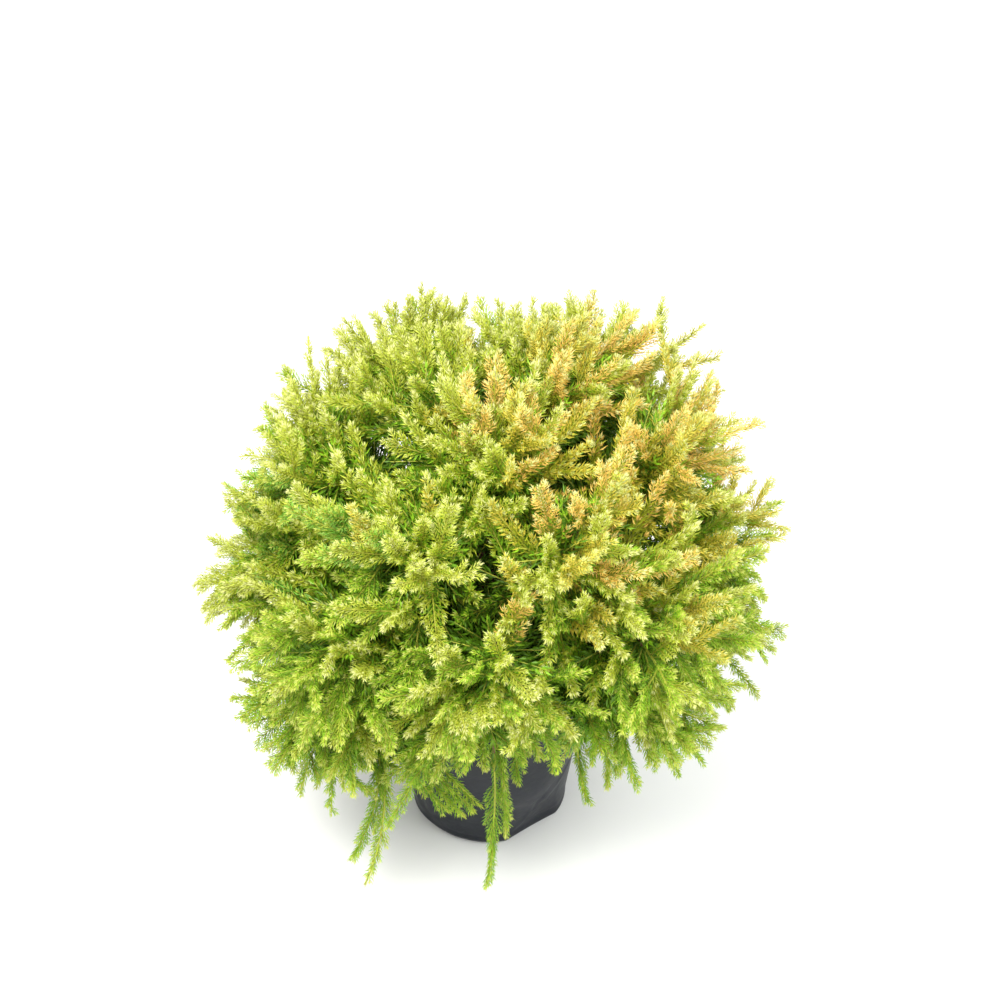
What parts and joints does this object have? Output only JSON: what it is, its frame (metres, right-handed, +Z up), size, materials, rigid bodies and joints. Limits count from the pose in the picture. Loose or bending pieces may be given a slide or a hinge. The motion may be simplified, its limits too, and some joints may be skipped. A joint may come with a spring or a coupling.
{
  "type": "potted dwarf globe japanese cedar",
  "caption": "Dwarf globe-shaped evergreen conifer with dense feathery plumes, in a soft black tapered nursery pot filled with potting mix.",
  "frame": {"origin": "middle of the pot's flat underside, on the ground", "axes": "+Z up along the pot's axis, -Y towards the front of the plant, +X to its right"},
  "size_m": [0.6843, 0.639, 0.6605],
  "materials": {
    "pot": "soft black polythene, semi-matt, creased",
    "potting_mix": "moist bark compost, coarse and matt",
    "bark": "fibrous red-brown bark, matt",
    "foliage_green": "needles, mid green, satin",
    "foliage_lime": "needles, lime green, satin",
    "foliage_yellow": "needles, yellow with pale tips, satin",
    "foliage_apricot": "needles, apricot tinted, satin"
  },
  "bodies": {
    "root": {"pot": "pot", "potting_mix": "potting_mix", "trunk": "bark", "bough_01": "bark", "foliage_01": "foliage_green", "bough_02": "bark", "foliage_02": "foliage_green", "bough_03": "bark", "foliage_03": "foliage_green", "bough_04": "bark", "foliage_04": "foliage_green", "bough_05": "bark", "foliage_05": "foliage_green", "bough_06": "bark", "foliage_06": "foliage_green", "bough_07": "bark", "foliage_07": "foliage_green", "bough_08": "bark", "foliage_08": "foliage_lime", "bough_09": "bark", "foliage_09": "foliage_lime", "bough_10": "bark", "foliage_10": "foliage_lime", "bough_11": "bark", "foliage_11": "foliage_lime", "bough_12": "bark", "foliage_12": "foliage_lime", "bough_13": "bark", "foliage_13": "foliage_lime", "bough_14": "bark", "foliage_14": "foliage_lime", "bough_15": "bark", "foliage_15": "foliage_lime", "bough_16": "bark", "foliage_16": "foliage_apricot", "bough_17": "bark", "foliage_17": "foliage_apricot", "bough_18": "bark", "foliage_18": "foliage_apricot", "bough_19": "bark", "foliage_19": "foliage_yellow", "bough_20": "bark", "foliage_20": "foliage_yellow", "bough_21": "bark", "foliage_21": "foliage_yellow", "bough_22": "bark", "foliage_22": "foliage_yellow", "bough_23": "bark", "foliage_23": "foliage_yellow", "bough_24": "bark", "foliage_24": "foliage_yellow"}
  },
  "joints": []
}
